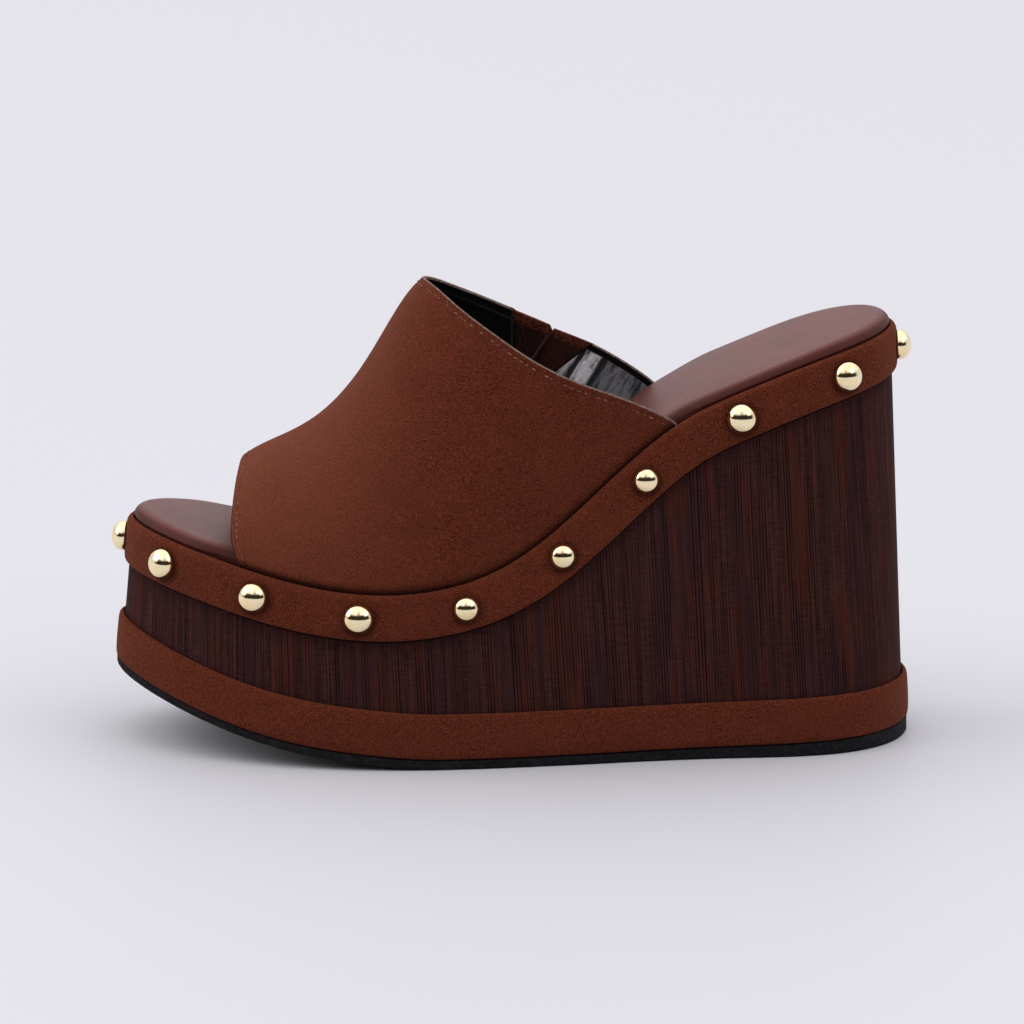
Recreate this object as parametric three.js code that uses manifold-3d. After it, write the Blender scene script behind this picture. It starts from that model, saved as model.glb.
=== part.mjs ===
// A left open-toe wedge mule: a suede upper with an elastic gore, a padded insole, a tall wedge
// covered in stacked-look wrap, a suede strip round its top with dome studs, a second strip round
// its foot, and a thin rubber outsole that lifts at the toe.
// Millimetres, +Z up. X runs from the toe (-) to the heel (+), and -Y is the outer side of the foot.
// The origin is on the floor under the middle of the shoe.
import * as THREE from 'three';
import { mergeVertices } from 'three/addons/utils/BufferGeometryUtils.js';
import Module from 'manifold-3d';

const wasm = await Module();
wasm.setup();

// The platform, as a last and sole maker would state it.
const footbedLength = 225.6; // top of the wedge, toe tip to heel tip
const ballWidth = 86;
const toeTipRadius = 24.8;
const heelTipRadius = 31;
const ballHeight = 52.2; // floor to the upper strip's top edge at the ball
const heelHeight = 124.7; // the same at the back of the heel
const toeFlare = 3.8; // how far the wall stands out at its foot
const heelFlare = 5.4;
const toeSpring = 21; // the outsole's lift at the toe tip
const springShare = 0.5; // front share of the outsole that lifts
const outsoleThickness = 3.2;
const outsoleInset = 0.5; // the rubber stands this far inside the lower strip
const outsoleChamfer = 0.5;

// The strips round the wall.
const upperStripWidth = 13.6;
const upperStripThickness = 1.4;
const lowerStripWidth = 13.6;
const lowerStripThickness = 1.5;
const recess = 2; // the wedge's top lies this far below the upper strip's top edge
const upperStripLean = 0.7; // above the wedge the strip leans in by this much at its top edge

// The insole.
const insoleRise = 3.4; // its flat top above the upper strip's top edge
const rollHeight = 3.9; // its rolled edge
const rollWidth = 3.6;
const insoleEase = 0.1; // more room than the clearance round its edge
const insoleStep = 0.06; // share of footbedLength over which its edge steps in for the upper

// The upper.
const instepHeight = 93.5; // largest height of the upper over the footbed
const upperWall = 1.8;
const ridgeLean = 4; // how far the ridge leans to the inner side
const sectionFullness = 2.2; // exponent of its cross-section, 2 for an ellipse
const upperFront = 0.1; // first and last upper section, as shares of footbedLength
const upperBack = 0.74;

// The elastic gore in the upper's inner side.
const goreFront = 2; // x of its upright front edge
const goreTopWidth = 23;
const goreDepth = 26.5; // down its front edge
const goreFootWidth = 3;
const goreWall = 1.2;
const goreProud = 0.6; // its top edge stands this far past the collar edge
const goreNick = 1.5; // the notch in its top edge, where its two halves meet
const goreNickShare = 0.5; // the notch's place along the top edge
const goreDepthIn = 0.3; // its outer face lies this far inside the upper's

// The studs.
const studDiameter = 9;
const waistStudDiameter = 7.7;
const studHeightShare = 0.42; // height over diameter
const studRim = 0.4; // upright rim below the dome
const studSeatShare = 0.6; // radius of its flat seat over its own
const studLip = 0.35; // the rim starts this far above the seat
const studLift = 0.4; // from the strip's face to the seat

const clearance = 0.3; // between neighbouring pieces
const tuckInset = upperStripLean + insoleEase; // what stands inside the upper strip starts here

// Mesh fineness.
const loopSteps = 80; // even, round an outline
const girthSteps = 34; // across the upper
const lengthSteps = 14; // along the upper
const studSides = 12;
const rollDegrees = [0, 18, 38, 62, 90]; // round the insole's rolled edge
const domeDegrees = [0, 25, 50, 72, 90]; // up a stud's dome
const goreGirthSteps = 14;
const goreLengthSteps = 5;
const goreGirthFrom = 0.74; // the stretch of girth that its sheet is cut from
const goreGirthTo = 0.96;
const goreMargin = 3; // and how far in front of its front edge the sheet starts
const goreLeastRun = 0.01; // its shortest row, as a share of footbedLength
const waySteps = 720; // round the strip, to measure its length
const halvings = 30; // to find the collar's height
const tiny = 1e-4; // step that a slope is measured over
const featherAngle = 0.02; // radians from a feather line that a normal keeps

// Eleven stations, evenly spaced from the toe tip to the heel tip. half is the half width and
// shift the centre line's way to the inner side, both over ballWidth. rise is the footbed's
// height over the ball, over the heel's. rubber is the outsole's thickness over outsoleThickness.
const stations = table(['half', 'shift', 'rise', 'rubber'], [
  [0.0, 0.051, 0.189, 0.75],
  [0.368, 0.029, 0.119, 0.72],
  [0.465, 0.008, 0.036, 0.77],
  [0.492, -0.012, -0.011, 0.81],
  [0.47, -0.028, 0.002, 0.84],
  [0.43, -0.038, 0.107, 0.85],
  [0.387, -0.038, 0.385, 0.89],
  [0.349, -0.029, 0.675, 0.97],
  [0.333, -0.014, 0.802, 1.09],
  [0.322, 0.001, 0.927, 1.26],
  [0.0, 0.011, 1, 1.44],
]);

// The outsole's lift over toeSpring, at even steps from the toe tip to the end of the spring.
const springLifts = [1, 0.74, 0.497, 0.297, 0.164, 0.079, 0.004, 0, 0];

// The upper's height over the footbed, over instepHeight, at even steps from upperFront to
// upperBack.
const instepSections = [
  0.126, 0.287, 0.367, 0.469, 0.647, 0.906, 0.952, 0.987, 0.998, 0.982, 0.962, 0.89, 0.757,
];

// Where the upper's toe edge and collar edge lie along the footbed, as shares of footbedLength,
// at even steps of girth from the outer feather line over the ridge to the inner one.
const upperEdges = table(['toe', 'collar'], [
  [0.138, 0.707],
  [0.127, 0.614],
  [0.128, 0.534],
  [0.13, 0.472],
  [0.133, 0.422],
  [0.138, 0.394],
  [0.144, 0.38],
  [0.149, 0.384],
  [0.152, 0.416],
  [0.154, 0.475],
  [0.156, 0.547],
  [0.157, 0.621],
  [0.157, 0.7],
]);

// A strip's section: across is a share of its width from its upper edge, out a share of its
// thickness from its inner face.
const stripSection = table(['across', 'out'], [
  [0.15, 0],
  [0.02, 0],
  [0, 0.2],
  [0.02, 0.5],
  [0.08, 0.8],
  [0.2, 1],
  [0.5, 1.08],
  [0.86, 1],
  [0.96, 0.75],
  [1, 0.3],
  [0.98, 0],
]);

const stripCrown = Math.max(...column(stripSection, 'out'));

// The studs in order from the toe tip, round by the outer side. place is the share of the strip's
// way round to the stud's middle.
const studs = table(['place', 'diameter'], [
  [-0.003, studDiameter],
  [0.048, studDiameter],
  [0.104, studDiameter],
  [0.159, studDiameter],
  [0.214, waistStudDiameter],
  [0.27, waistStudDiameter],
  [0.327, waistStudDiameter],
  [0.385, studDiameter],
  [0.4435, studDiameter],
  [0.499, studDiameter],
  [0.554, studDiameter],
  [0.61, studDiameter],
  [0.666, waistStudDiameter],
  [0.722, waistStudDiameter],
  [0.778, waistStudDiameter],
  [0.833, studDiameter],
  [0.887, studDiameter],
  [0.941, studDiameter],
]);

// Rows with named columns.
function table(columns, rows) {
  return rows.map((row) => Object.fromEntries(columns.map((name, i) => [name, row[i]])));
}

function column(rows, name) {
  return rows.map((row) => row[name]);
}

// Uniform cubic B-spline over values at even steps of share, which runs from 0 to 1.
function spline(values, share) {
  const last = values.length - 1;
  const way = THREE.MathUtils.clamp(share, 0, 1) * last;
  const i = Math.min(Math.floor(way), last - 1);
  const f = way - i;
  const before = i > 0 ? values[i - 1] : 2 * values[0] - values[1];
  const after = i + 2 <= last ? values[i + 2] : 2 * values[last] - values[last - 1];
  const sum = (1 - f) ** 3 * before
    + (3 * f ** 3 - 6 * f ** 2 + 4) * values[i]
    + (-3 * f ** 3 + 3 * f ** 2 + 3 * f + 1) * values[i + 1]
    + f ** 3 * after;
  return sum / 6;
}

// The wedge's top outline is a round-ended curve: its half width is a smooth factor times the
// half circle sqrt(along * (1 - along)), so each tip has the radius that its factor gives.
const widthFactors = stations.map(({ half }, i) => {
  const along = i / (stations.length - 1);
  if (along === 0) return Math.sqrt(2 * footbedLength * toeTipRadius);
  if (along === 1) return Math.sqrt(2 * footbedLength * heelTipRadius);
  return (half * ballWidth) / Math.sqrt(along * (1 - along));
});
const shifts = column(stations, 'shift').map((shift) => shift * ballWidth);

// turn goes round the outline, 0 at the toe tip, by the outer side to PI at the heel tip.
function alongAt(turn) {
  return (1 - Math.cos(turn)) / 2;
}

function planPoint(turn) {
  const along = alongAt(turn);
  const halfWidth = (Math.sin(turn) / 2) * spline(widthFactors, along);
  return new THREE.Vector2(footbedLength * (along - 0.5), spline(shifts, along) - halfWidth);
}

function planTangent(turn) {
  return planPoint(turn + tiny).sub(planPoint(turn - tiny)).divideScalar(2 * tiny);
}

// The outline moved outwards by grow.
function outlinePoint(turn, grow) {
  const tangent = planTangent(turn).normalize();
  return planPoint(turn).add(new THREE.Vector2(tangent.y, -tangent.x).multiplyScalar(grow));
}

// Height of the upper strip's top edge, which every piece on the footbed follows.
function edgeHeight(along) {
  return ballHeight + (heelHeight - ballHeight) * spline(column(stations, 'rise'), along);
}

// The sole's two heights under a point at x: the outsole's ground face and its top face.
const soleFront = -footbedLength / 2 - toeFlare - clearance - lowerStripThickness;
const soleBack = footbedLength / 2 + heelFlare + clearance + lowerStripThickness;

function groundHeight(x) {
  const along = (x - soleFront) / (soleBack - soleFront);
  return along < springShare ? toeSpring * spline(springLifts, along / springShare) : 0;
}

function rubberHeight(x) {
  const along = (x - soleFront) / (soleBack - soleFront);
  return groundHeight(x) + outsoleThickness * spline(column(stations, 'rubber'), along);
}

// A point of the wedge's flared wall at height z, moved outwards by out. The wall stands out
// evenly from its top edge down to the outsole.
function wallPoint(turn, z, out) {
  const along = alongAt(turn);
  const top = edgeHeight(along);
  const foot = rubberHeight(planPoint(turn).x);
  const flare = THREE.MathUtils.lerp(toeFlare, heelFlare, along);
  const plan = outlinePoint(turn, out + (flare * (top - z)) / (top - foot));
  return new THREE.Vector3(plan.x, plan.y, z);
}

// Closed solid from loops of points, one above the other. Each loop starts at the toe tip and
// goes round by the outer side, and the first and last are closed by strips across the outline.
function stackedSolid(loops) {
  const count = loops[0].length;
  const points = loops.flat();
  const faces = [];
  for (let row = 0; row < loops.length - 1; row += 1) {
    for (let i = 0; i < count; i += 1) {
      const next = (i + 1) % count;
      quad(faces, row * count + i, row * count + next, (row + 1) * count + next, (row + 1) * count + i);
    }
  }
  const lastRow = (loops.length - 1) * count;
  for (let i = 0; i < count / 2; i += 1) {
    const mirror = (count - i) % count;
    const nextMirror = count - i - 1;
    quad(faces, mirror, nextMirror, i + 1, i);
    quad(faces, lastRow + i, lastRow + i + 1, lastRow + nextMirror, lastRow + mirror);
  }
  return meshGeometry(points, faces);
}

// Two triangles, a-b-c and a-c-d, without those that fold to nothing at an outline's tip.
function quad(faces, a, b, c, d) {
  for (const face of [[a, b, c], [a, c, d]]) {
    if (new Set(face).size === 3) faces.push(face);
  }
}

function meshGeometry(points, faces) {
  const geometry = new THREE.BufferGeometry();
  const positions = points.flatMap((point) => [point.x, point.y, point.z]);
  geometry.setAttribute('position', new THREE.Float32BufferAttribute(positions, 3));
  geometry.setIndex(faces.flat());
  return geometry;
}

// A loop of loopSteps points, each worked out from its turn.
function loopOf(pointAt) {
  return Array.from({ length: loopSteps }, (_, i) => pointAt((2 * Math.PI * i) / loopSteps));
}

// Two grids of one size, the outer and the inner skin of a wall, joined round their rims.
function walledSheet(outer, inner) {
  const rows = outer.length;
  const columns = outer[0].length;
  const points = [...outer.flat(), ...inner.flat()];
  const faces = [];
  const at = (row, col, skin) => skin * rows * columns + row * columns + col;
  for (let row = 0; row < rows - 1; row += 1) {
    for (let col = 0; col < columns - 1; col += 1) {
      quad(faces, at(row, col, 0), at(row + 1, col, 0), at(row + 1, col + 1, 0), at(row, col + 1, 0));
      quad(faces, at(row, col, 1), at(row, col + 1, 1), at(row + 1, col + 1, 1), at(row + 1, col, 1));
    }
  }
  for (let row = 0; row < rows - 1; row += 1) {
    const far = columns - 1;
    quad(faces, at(row, 0, 0), at(row, 0, 1), at(row + 1, 0, 1), at(row + 1, 0, 0));
    quad(faces, at(row, far, 0), at(row + 1, far, 0), at(row + 1, far, 1), at(row, far, 1));
  }
  for (let col = 0; col < columns - 1; col += 1) {
    const end = rows - 1;
    quad(faces, at(0, col, 0), at(0, col + 1, 0), at(0, col + 1, 1), at(0, col, 1));
    quad(faces, at(end, col, 0), at(end, col, 1), at(end, col + 1, 1), at(end, col + 1, 0));
  }
  return meshGeometry(points, faces);
}

// The wedge: straight flared walls between the footbed's curve and the outsole's top.
function wedgeGeometry() {
  const foot = loopOf((turn) => {
    const z = rubberHeight(outlinePoint(turn, toeFlare).x) + clearance;
    return wallPoint(turn, z, 0);
  });
  const top = loopOf((turn) => wallPoint(turn, edgeHeight(alongAt(turn)) - recess, 0));
  return stackedSolid([foot, top]);
}

// The outsole: ground face with a small chamfer, straight edge, top face.
function outsoleGeometry() {
  const outlineAt = (turn, inset) => {
    const flare = THREE.MathUtils.lerp(toeFlare, heelFlare, alongAt(turn));
    return outlinePoint(turn, flare + clearance + lowerStripThickness - outsoleInset - inset);
  };
  const layer = (heightAt, inset, lift) => loopOf((turn) => {
    const plan = outlineAt(turn, inset);
    return new THREE.Vector3(plan.x, plan.y, heightAt(plan.x) + lift);
  });
  return stackedSolid([
    layer(groundHeight, outsoleChamfer, 0),
    layer(groundHeight, 0, outsoleChamfer),
    layer(rubberHeight, 0, 0),
  ]);
}

// A strip laid on the wall: its section stands at each turn and is carried all the way round.
function stripGeometry(thickness, surfacePoint) {
  const loops = stripSection.map(({ across, out }) => (
    loopOf((turn) => surfacePoint(turn, across, clearance + out * thickness))
  ));
  const count = loopSteps;
  const faces = [];
  loops.forEach((loop, row) => {
    const nextRow = (row + 1) % loops.length;
    for (let i = 0; i < count; i += 1) {
      const next = (i + 1) % count;
      quad(faces, nextRow * count + i, nextRow * count + next, row * count + next, row * count + i);
    }
  });
  return meshGeometry(loops.flat(), faces);
}

// The upper strip keeps its width square to its own slope, as a strip glued along a line does.
function upperStripPoint(turn, across, out) {
  const speed = planTangent(turn).length();
  const climb = (edgeHeight(alongAt(turn + tiny)) - edgeHeight(alongAt(turn - tiny))) / (2 * tiny);
  const pace = Math.hypot(speed, climb);
  const down = across * upperStripWidth;
  const z = edgeHeight(alongAt(turn)) - (down * speed) / pace;
  const lean = upperStripLean * Math.max(1 - down / recess, 0) ** 2;
  return wallPoint(turn + (down * climb) / pace / speed, z, out - lean);
}

function lowerStripPoint(turn, across, out) {
  const foot = rubberHeight(outlinePoint(turn, toeFlare).x) + clearance;
  return wallPoint(turn, foot + (1 - across) * lowerStripWidth, out);
}

// The insole: an upright side, then a rolled edge of quarter-ellipse section, then a flat top.
// Its edge steps in where the upper passes down beside it.
function insoleInset(along) {
  const room = upperWall + clearance + insoleEase;
  const half = insoleStep / 2;
  const front = THREE.MathUtils.smoothstep(along, upperFront - half, upperFront + half);
  const back = 1 - THREE.MathUtils.smoothstep(along, upperBack - half, upperBack + half);
  return tuckInset + room * front * back;
}

function insoleGeometry() {
  const layer = (inset, rise) => loopOf((turn) => {
    const along = alongAt(turn);
    const plan = outlinePoint(turn, -insoleInset(along) - inset);
    return new THREE.Vector3(plan.x, plan.y, edgeHeight(along) + rise);
  });
  const foot = insoleRise - rollHeight;
  const roll = rollDegrees.map((degrees) => {
    const angle = THREE.MathUtils.degToRad(degrees);
    return layer(rollWidth * (1 - Math.cos(angle)), foot + rollHeight * Math.sin(angle));
  });
  return stackedSolid([layer(0, clearance - recess), ...roll]);
}

// The upper's outer skin at a share of footbedLength and an angle round the foot: 0 at the outer
// feather line, PI / 2 at the ridge, PI at the inner feather line.
function skinPoint(along, angle) {
  const share = (along - upperFront) / (upperBack - upperFront);
  const height = instepHeight * spline(instepSections, share);
  const power = 2 / sectionFullness;
  const sine = Math.max(Math.sin(angle), 0);
  const cosine = Math.cos(angle);
  const turn = Math.acos(1 - 2 * along);
  const halfWidth = (Math.sin(turn) / 2) * spline(widthFactors, along) - tuckInset;
  const sideways = -halfWidth * Math.sign(cosine) * Math.abs(cosine) ** power;
  return new THREE.Vector3(
    footbedLength * (along - 0.5),
    spline(shifts, along) + sideways + ridgeLean * sine ** 2,
    edgeHeight(along) + height * sine ** power,
  );
}

function skinNormal(along, angle) {
  const inside = THREE.MathUtils.clamp(angle, featherAngle, Math.PI - featherAngle);
  const alongWay = skinPoint(along + tiny, inside).sub(skinPoint(along - tiny, inside));
  const girthWay = skinPoint(along, inside + tiny).sub(skinPoint(along, inside - tiny));
  return alongWay.cross(girthWay).normalize();
}

// One skin of a wall on the upper's surface, depth inside the outer skin, as rows from the toe
// edge to the collar edge.
function skinGrid(rowShares, girths, edges, depth) {
  return rowShares.map((share) => girths.map((girth) => {
    const [front, back] = edges(girth);
    const along = THREE.MathUtils.lerp(front, back, share);
    const angle = girth * Math.PI;
    return skinPoint(along, angle).addScaledVector(skinNormal(along, angle), -depth);
  }));
}

function evenShares(steps) {
  return Array.from({ length: steps + 1 }, (_, i) => i / steps);
}

// The whole upper before the gore's opening is cut. Each row starts and ends with a point straight
// below the feather line, where the wall goes down beside the insole.
function upperShell() {
  const toes = column(upperEdges, 'toe');
  const collars = column(upperEdges, 'collar');
  const edges = (girth) => [spline(toes, girth), spline(collars, girth)];
  const skin = (depth) => skinGrid(evenShares(lengthSteps), evenShares(girthSteps), edges, depth)
    .map((row) => [row[0].clone(), ...row, row[girthSteps].clone()].map(tuckedDown));
  return walledSheet(skin(0), skin(upperWall));
}

function tuckedDown(point, i, row) {
  const feather = edgeHeight(point.x / footbedLength + 0.5);
  if (i === 0 || i === row.length - 1) point.z = feather - recess + clearance;
  if (i === 1 || i === row.length - 2) point.z = feather;
  return point;
}

// Height of the collar edge above x on the inner side, found by halving the girth.
function collarHeight(x) {
  const collars = column(upperEdges, 'collar');
  const along = x / footbedLength + 0.5;
  let [low, high] = [0.5, 1];
  for (let i = 0; i < halvings; i += 1) {
    const middle = (low + high) / 2;
    if (spline(collars, middle) < along) low = middle;
    else high = middle;
  }
  return skinPoint(along, low * Math.PI).z;
}

// A prism through the inner side with the gore's outline, grown all round by margin. Its front
// edge is upright and its back edge slants down to a short foot.
function gorePrism(margin) {
  const foot = collarHeight(goreFront) - goreDepth;
  const backTop = collarHeight(goreFront + goreTopWidth);
  const slant = (goreTopWidth - goreFootWidth) / (backTop - foot);
  const reach = margin * Math.hypot(1, slant);
  const above = 2 * goreDepth;
  const backAt = (z) => goreFront + goreFootWidth + slant * (z - foot) + reach;
  return sidePrism([
    [goreFront - margin, foot - margin],
    [backAt(foot - margin), foot - margin],
    [backAt(foot + above), foot + above],
    [goreFront - margin, foot + above],
  ]);
}

// The notch in the gore's top edge.
function nickPrism() {
  const x = goreFront + goreNickShare * goreTopWidth;
  const z = collarHeight(x);
  return sidePrism([
    [x, z - goreNick],
    [x + goreNick, z + goreNick],
    [x - goreNick, z + goreNick],
  ]);
}

// An outline of x and z, drawn anticlockwise from the outer side, carried across the inner half.
function sidePrism(outline) {
  const shape = new THREE.Shape(outline.map(([x, z]) => new THREE.Vector2(x, z)));
  const geometry = new THREE.ExtrudeGeometry(shape, { depth: ballWidth, bevelEnabled: false });
  geometry.rotateX(Math.PI / 2);
  geometry.translate(0, ballWidth, 0);
  return solidOf(geometry);
}

function solidOf(geometry) {
  const bare = new THREE.BufferGeometry();
  bare.setAttribute('position', geometry.getAttribute('position'));
  bare.setIndex(geometry.getIndex());
  const merged = mergeVertices(bare, 1e-4);
  const mesh = new wasm.Mesh({
    numProp: 3,
    vertProperties: new Float32Array(merged.getAttribute('position').array),
    triVerts: new Uint32Array(merged.getIndex().array),
  });
  return new wasm.Manifold(mesh);
}

function geometryOf(solid) {
  const { vertProperties, triVerts, numProp } = solid.getMesh();
  const geometry = new THREE.BufferGeometry();
  const positions = Array.from({ length: vertProperties.length / numProp }, (_, i) => (
    Array.from(vertProperties.slice(i * numProp, i * numProp + 3))
  ));
  geometry.setAttribute('position', new THREE.Float32BufferAttribute(positions.flat(), 3));
  geometry.setIndex(Array.from(triVerts));
  return geometry;
}

function upperGeometry() {
  return geometryOf(solidOf(upperShell()).subtract(gorePrism(clearance)));
}

// The gore: a thinner wall on the middle of the upper's own surface, cut to the gore's outline.
function goreGeometry() {
  const collars = column(upperEdges, 'collar');
  const front = (goreFront - goreMargin) / footbedLength + 0.5;
  const girths = evenShares(goreGirthSteps).map((share) => (
    THREE.MathUtils.lerp(goreGirthFrom, goreGirthTo, share)
  ));
  const edges = (girth) => {
    const back = spline(collars, girth) + goreProud / footbedLength;
    return [Math.min(front, back - goreLeastRun), back];
  };
  const skin = (depth) => skinGrid(evenShares(goreLengthSteps), girths, edges, depth);
  const shell = walledSheet(skin(goreDepthIn), skin(goreDepthIn + goreWall));
  return geometryOf(solidOf(shell).intersect(gorePrism(0)).subtract(nickPrism()));
}

// A dome stud about its own upright axis. Its flat seat is smaller than its rim, so that the rim
// clears the strip where the strip bends.
function studGeometry(diameter) {
  const radius = diameter / 2;
  const foot = studLip + studRim;
  const dome = studHeightShare * diameter - foot;
  const profile = [
    new THREE.Vector2(0, 0),
    new THREE.Vector2(studSeatShare * radius, 0),
    new THREE.Vector2(radius, studLip),
  ];
  for (const degrees of domeDegrees) {
    const angle = THREE.MathUtils.degToRad(degrees);
    const across = degrees === 90 ? 0 : radius * Math.cos(angle);
    profile.push(new THREE.Vector2(across, foot + dome * Math.sin(angle)));
  }
  return new THREE.LatheGeometry(profile, studSides);
}

// The turn at which a share of the upper strip's middle line has been covered.
const stripWay = [0];
const crownOut = clearance + upperStripThickness * stripCrown;
const stripMiddle = (turn) => upperStripPoint(turn, 0.5, crownOut);
for (let i = 0; i < waySteps; i += 1) {
  const from = stripMiddle((2 * Math.PI * i) / waySteps);
  const to = stripMiddle((2 * Math.PI * (i + 1)) / waySteps);
  stripWay.push(stripWay[i] + from.distanceTo(to));
}

function turnAtPlace(place) {
  const way = (place - Math.floor(place)) * stripWay[waySteps];
  const i = stripWay.findIndex((covered, step) => step > 0 && covered >= way);
  const within = (way - stripWay[i - 1]) / (stripWay[i] - stripWay[i - 1]);
  return (2 * Math.PI * (i - 1 + within)) / waySteps;
}

// A stud's seat on the strip and the way out of the wall there.
function studSeat(place) {
  const turn = turnAtPlace(place);
  const seat = stripMiddle(turn);
  const round = stripMiddle(turn + tiny).sub(seat);
  const down = upperStripPoint(turn, 0.5 + tiny, crownOut).sub(seat);
  const normal = down.cross(round).normalize();
  return { position: seat.addScaledVector(normal, studLift), normal };
}

function piece(name, geometry, material) {
  const mesh = new THREE.Mesh(geometry, material);
  mesh.name = name;
  return mesh;
}

const suede = new THREE.MeshStandardMaterial({ color: 0x5e2a20, roughness: 0.95 });
const lining = new THREE.MeshStandardMaterial({ color: 0x7a5a5c, roughness: 0.5 });
const wrap = new THREE.MeshStandardMaterial({ color: 0x33201f, roughness: 0.7 });
const rubber = new THREE.MeshStandardMaterial({ color: 0x1c1c1e, roughness: 0.8 });
const elastic = new THREE.MeshStandardMaterial({ color: 0x3f1f1a, roughness: 0.9 });
const gilt = new THREE.MeshStandardMaterial({ color: 0xd8b26a, roughness: 0.2, metalness: 1 });

const mule = new THREE.Group();
mule.add(
  piece('outsole', outsoleGeometry(), rubber),
  piece('wedge', wedgeGeometry(), wrap),
  piece('lower_strip', stripGeometry(lowerStripThickness, lowerStripPoint), suede),
  piece('upper_strip', stripGeometry(upperStripThickness, upperStripPoint), suede),
  piece('insole', insoleGeometry(), lining),
  piece('upper', upperGeometry(), suede),
  piece('gore', goreGeometry(), elastic),
);
studs.forEach(({ place, diameter }, i) => {
  const stud = piece(`stud_${String(i + 1).padStart(2, '0')}`, studGeometry(diameter), gilt);
  const { position, normal } = studSeat(place);
  stud.position.copy(position);
  stud.quaternion.setFromUnitVectors(new THREE.Vector3(0, 1, 0), normal);
  mule.add(stud);
});

export default mule;
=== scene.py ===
"""A left wedge mule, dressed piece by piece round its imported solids.

Shapes are worked out in millimetres, with +X from the toe to the heel and -Y the outer side of
the foot, and are put into the scene in metres.
"""

import bpy
import numpy as np
from mathutils import Matrix, Vector


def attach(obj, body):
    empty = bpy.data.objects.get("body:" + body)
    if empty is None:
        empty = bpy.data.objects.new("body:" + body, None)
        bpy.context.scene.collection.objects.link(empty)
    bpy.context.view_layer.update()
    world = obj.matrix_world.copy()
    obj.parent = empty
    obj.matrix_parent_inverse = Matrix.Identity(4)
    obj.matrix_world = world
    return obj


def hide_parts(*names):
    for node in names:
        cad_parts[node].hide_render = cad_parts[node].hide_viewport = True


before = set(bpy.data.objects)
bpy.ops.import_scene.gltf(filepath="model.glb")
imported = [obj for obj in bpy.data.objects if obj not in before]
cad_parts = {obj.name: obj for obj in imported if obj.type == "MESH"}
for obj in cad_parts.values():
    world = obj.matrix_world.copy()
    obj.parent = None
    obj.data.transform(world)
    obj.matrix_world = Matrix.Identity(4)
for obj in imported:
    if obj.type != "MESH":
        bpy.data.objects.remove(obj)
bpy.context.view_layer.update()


# The wedge: a light core under a wrap printed and pressed to look like stacked leather lifts.
# The wrap goes once round the wall and butts at the toe. The outsole is glued to its foot, and
# its top edge hides behind the upper strip.
footbed_length = 225.6
ball_width = 86
toe_tip_radius = 24.8
heel_tip_radius = 31
ball_height = 52.2
heel_height = 124.7
toe_flare = 3.8
heel_flare = 5.4
toe_spring = 21
spring_share = 0.5
outsole_thickness = 3.2
glue_gap = 0.3
wedge_recess = 2
lower_strip_thickness = 1.5

# Eleven stations from the toe tip to the heel tip: half width and centre line's shift over the
# ball width, rise of the footbed over the ball, and the outsole's share of its thickness.
station_columns = ("half", "shift", "rise", "rubber")
station_rows = (
    (0.0, 0.051, 0.189, 0.75),
    (0.368, 0.029, 0.119, 0.72),
    (0.465, 0.008, 0.036, 0.77),
    (0.492, -0.012, -0.011, 0.81),
    (0.47, -0.028, 0.002, 0.84),
    (0.43, -0.038, 0.107, 0.85),
    (0.387, -0.038, 0.385, 0.89),
    (0.349, -0.029, 0.675, 0.97),
    (0.333, -0.014, 0.802, 1.09),
    (0.322, 0.001, 0.927, 1.26),
    (0.0, 0.011, 1.0, 1.44),
)
stations = dict(zip(station_columns, np.array(station_rows).T))
spring_lifts = (1, 0.74, 0.497, 0.297, 0.164, 0.079, 0.004, 0, 0)


def spline(values, share):
    """Uniform cubic B-spline: at each share, four neighbouring values in the cubic weights."""
    values = np.asarray(values, float)
    last = len(values) - 1
    before = 2 * values[0] - values[1]
    after = 2 * values[-1] - values[-2]
    padded = np.concatenate([[before], values, [after]])
    way = np.clip(share, 0, 1) * last
    i = np.minimum(way.astype(int), last - 1)
    f = way - i
    weights = ((1 - f) ** 3, 3 * f**3 - 6 * f**2 + 4, -3 * f**3 + 3 * f**2 + 3 * f + 1, f**3)
    return sum(weight * padded[i + k] for k, weight in enumerate(weights)) / 6


def smooth(low, high, value):
    """0 below low, 1 above high, and the cubic 3t^2 - 2t^3 between them."""
    t = np.clip((value - low) / (high - low), 0, 1)
    return t * t * (3 - 2 * t)


station_places = np.linspace(0, 1, len(station_rows))
inner_places = station_places[1:-1]
width_factors = np.concatenate([
    [np.sqrt(2 * footbed_length * toe_tip_radius)],
    stations["half"][1:-1] * ball_width / np.sqrt(inner_places * (1 - inner_places)),
    [np.sqrt(2 * footbed_length * heel_tip_radius)],
])
shifts = stations["shift"] * ball_width


def full_turn(count):
    """Once round, in count even steps from the toe tip by the outer side."""
    return np.linspace(0, 2 * np.pi, count, endpoint=False)


def along_at(turn):
    """Share of the footbed's length at a turn: 0 at the toe tip, 1 at the heel tip."""
    return (1 - np.cos(turn)) / 2


def plan_point(turn):
    """The footbed's outline: the centre line less half a circle times the width factor."""
    along = along_at(turn)
    half_width = np.sin(turn) / 2 * spline(width_factors, along)
    return footbed_length * (along - 0.5), spline(shifts, along) - half_width


tiny = 1e-4


def plan_tangent(turn):
    """Slope of the outline with the turn, by differences."""
    x1, y1 = plan_point(turn + tiny)
    x0, y0 = plan_point(turn - tiny)
    return (x1 - x0) / (2 * tiny), (y1 - y0) / (2 * tiny)


def outline_point(turn, grow):
    """The outline moved outwards by grow, along its normal."""
    x, y = plan_point(turn)
    tx, ty = plan_tangent(turn)
    length = np.hypot(tx, ty)
    return x + grow * ty / length, y - grow * tx / length


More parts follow.
